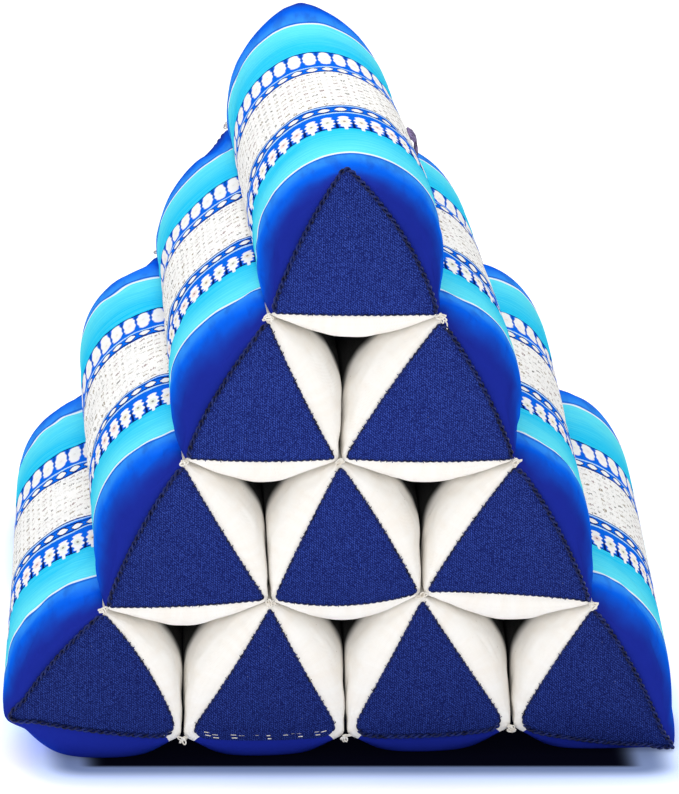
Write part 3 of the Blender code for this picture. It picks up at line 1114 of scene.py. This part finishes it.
def hand_stitches(roll, outward, along, rng):
    paths = []
    for run in edge_runs(roll, along, ("floor",)):
        fine, reach, _, _ = even_path(run, 0.0005)
        place = 0.006
        while place < reach[-1] - 0.006:
            length = rng.uniform(0.0014, 0.0034)
            first, last = (int(np.searchsorted(reach, p)) for p in (place, place + length))
            y = outward * (HALF_LENGTH + 0.0007)
            drop = 0.0037 + rng.uniform(-0.0005, 0.0006)
            paths.append([(fine[k][0], y, fine[k][1] + drop) for k in (first, last)])
            if rng.random() < 0.5:
                paths.append([(x + 0.0006, y, z - 0.0019) for x, y, z in paths[-1]])
            place += length + rng.choice((0.0010, 0.0016, 0.0070))
    return paths


second = next(roll for roll in rolls if roll.name == "4_2")
for side_name, outward, along in ENDS:
    lay_thread(f"hand_stitches_{side_name}", hand_stitches(second, outward, along, rng),
               0.00026, cream_thread)
print("hand stitches laid")

# %% [markdown]
# ## The tab
# A short folded strip of dark ribbon is caught in the seam to the right of the top roll, just
# behind mid length. It is blank. A grid is bent to lie along the roll and to stand off it a
# little near its outer edge, and Solidify gives it the thickness of both layers.

# %% Side tab
TAB_WIDTH = 0.013
TAB_FROM, TAB_TO = 0.06, 0.41
TAB_ALONG = 0.0200
TAB_LIFT = 0.0026


def make_tab():
    roll = rolls[0]
    outline = roll.outline(0.5 + TAB_ALONG / 0.3, 60)
    index = [k for k, side in enumerate(roll.sides) if side[0] == (0.5, 3)][0]
    side = outline[index * 60:(index + 1) * 60]
    bm = bmesh.new()
    bmesh.ops.create_grid(bm, x_segments=14, y_segments=10, size=0.5)
    for v in bm.verts:
        share = v.co.x + 0.5
        place = (TAB_FROM + (TAB_TO - TAB_FROM) * share) * 60
        k = int(place)
        here = side[k] + (side[k + 1] - side[k]) * (place - k)
        direction = unit(side[k + 1] - side[k])
        normal = np.array((direction[1], -direction[0]))
        curl = 0.0006 + TAB_LIFT * math.sin(math.pi * share ** 4)
        curl += 0.0005 * math.sin(v.co.y * 5.0) * share
        at = here + normal * curl
        v.co = (at[0], TAB_ALONG + v.co.y * TAB_WIDTH, at[1])
    bmesh.ops.recalc_face_normals(bm, faces=bm.faces)
    tab = cut_out(bm, "tab", tab_cloth)
    tab.data.shade_smooth()
    thick = tab.modifiers.new("thickness", "SOLIDIFY")
    thick.thickness = 0.0014
    thick.offset = 1.0
    stands_for(tab, "side_tab")
    return tab


make_tab()
print("tab made")

# %% [markdown]
# ## Floor and light
# The picture shows a white ground and light from all sides, most of all from above. A bright
# world does this, with a large soft light overhead and a wide one far out in front. The table
# glows a little. The narrow shadow of the picture is painted on the table: black under the
# cushion, blue-grey at its edge, white some 3 cm out.

# %% Floor, world and lights
SKY_LOW, SKY_HIGH = 0.27, 1.12
SHADE_MIDDLE, SHADE_HALF = (2.0, -8.0), (137.0, 150.5)   # the dark under the cushion, in mm
bm = bmesh.new()
bmesh.ops.create_grid(bm, x_segments=8, y_segments=8, size=6.0)
floor_cloth = Weave("white_table", 0.9, specular=0.0)
across, deep, _ = floor_cloth.solid_place()
deep = deep + across * 0.052
outside = [floor_cloth.math("MAXIMUM", 0.0, abs(place - middle) - half)
           for place, middle, half in zip((across, deep), SHADE_MIDDLE, SHADE_HALF)]
# The shade is softer at the sides than at the front.
sideways = outside[0] * outside[0] / 80.0
away = floor_cloth.math("SQRT", sideways * sideways + outside[1] * outside[1])
shade = rgb(0.001, 0.001, 0.004)
for edge, soft, colour in ((1.7, 1.8, rgb(0.15, 0.20, 0.35)), (11.0, 6.0, rgb(0.52, 0.62, 0.86)),
                           (23.0, 11.0, rgb(0.84, 0.84, 0.85))):
    shade = floor_cloth.blend(floor_cloth.after(away, edge, soft), shade, colour)
floor_cloth.plug(shade, "Emission Color")
floor_cloth.shader.inputs["Emission Strength"].default_value = 0.45
cut_out(bm, "floor", floor_cloth.finish(shade))

world = bpy.data.worlds.new("tent")
world.use_nodes = True
nodes, links = world.node_tree.nodes, world.node_tree.links
sky = nodes["Background"]
sky.inputs[0].default_value = (1.0, 1.0, 1.0, 1.0)
direction = nodes.new("ShaderNodeSeparateXYZ")
links.new(nodes.new("ShaderNodeTexCoord").outputs["Generated"], direction.inputs[0])
height_ = nodes.new("ShaderNodeMapRange")
height_.inputs[3].default_value, height_.inputs[4].default_value = SKY_LOW, SKY_HIGH
links.new(direction.outputs[2], height_.inputs[0])
seen = nodes.new("ShaderNodeLightPath")
shown = nodes.new("ShaderNodeMix")
links.new(seen.outputs["Is Camera Ray"], shown.inputs[0])
links.new(height_.outputs[0], shown.inputs[2])
shown.inputs[3].default_value = 1.0
links.new(shown.outputs[0], sky.inputs[1])
scene.world = world


def soft_light(name, at, size, power):
    light = bpy.data.lights.new(name, "AREA")
    light.shape = "SQUARE"
    light.size = size
    light.energy = power
    lamp = bpy.data.objects.new(name, light)
    lamp.location = at
    aim = Vector((0.0, 0.0, 0.15)) - Vector(at)
    lamp.rotation_euler = aim.to_track_quat("-Z", "Y").to_euler()
    scene.collection.objects.link(lamp)


soft_light("overhead", (-0.15, 0.1, 1.5), 0.8, 6.5)
soft_light("front", (-0.6, -2.2, 1.2), 1.2, 13.0)
scene.view_settings.view_transform = "Standard"
scene.view_settings.look = "None"
print("floor and lights set")
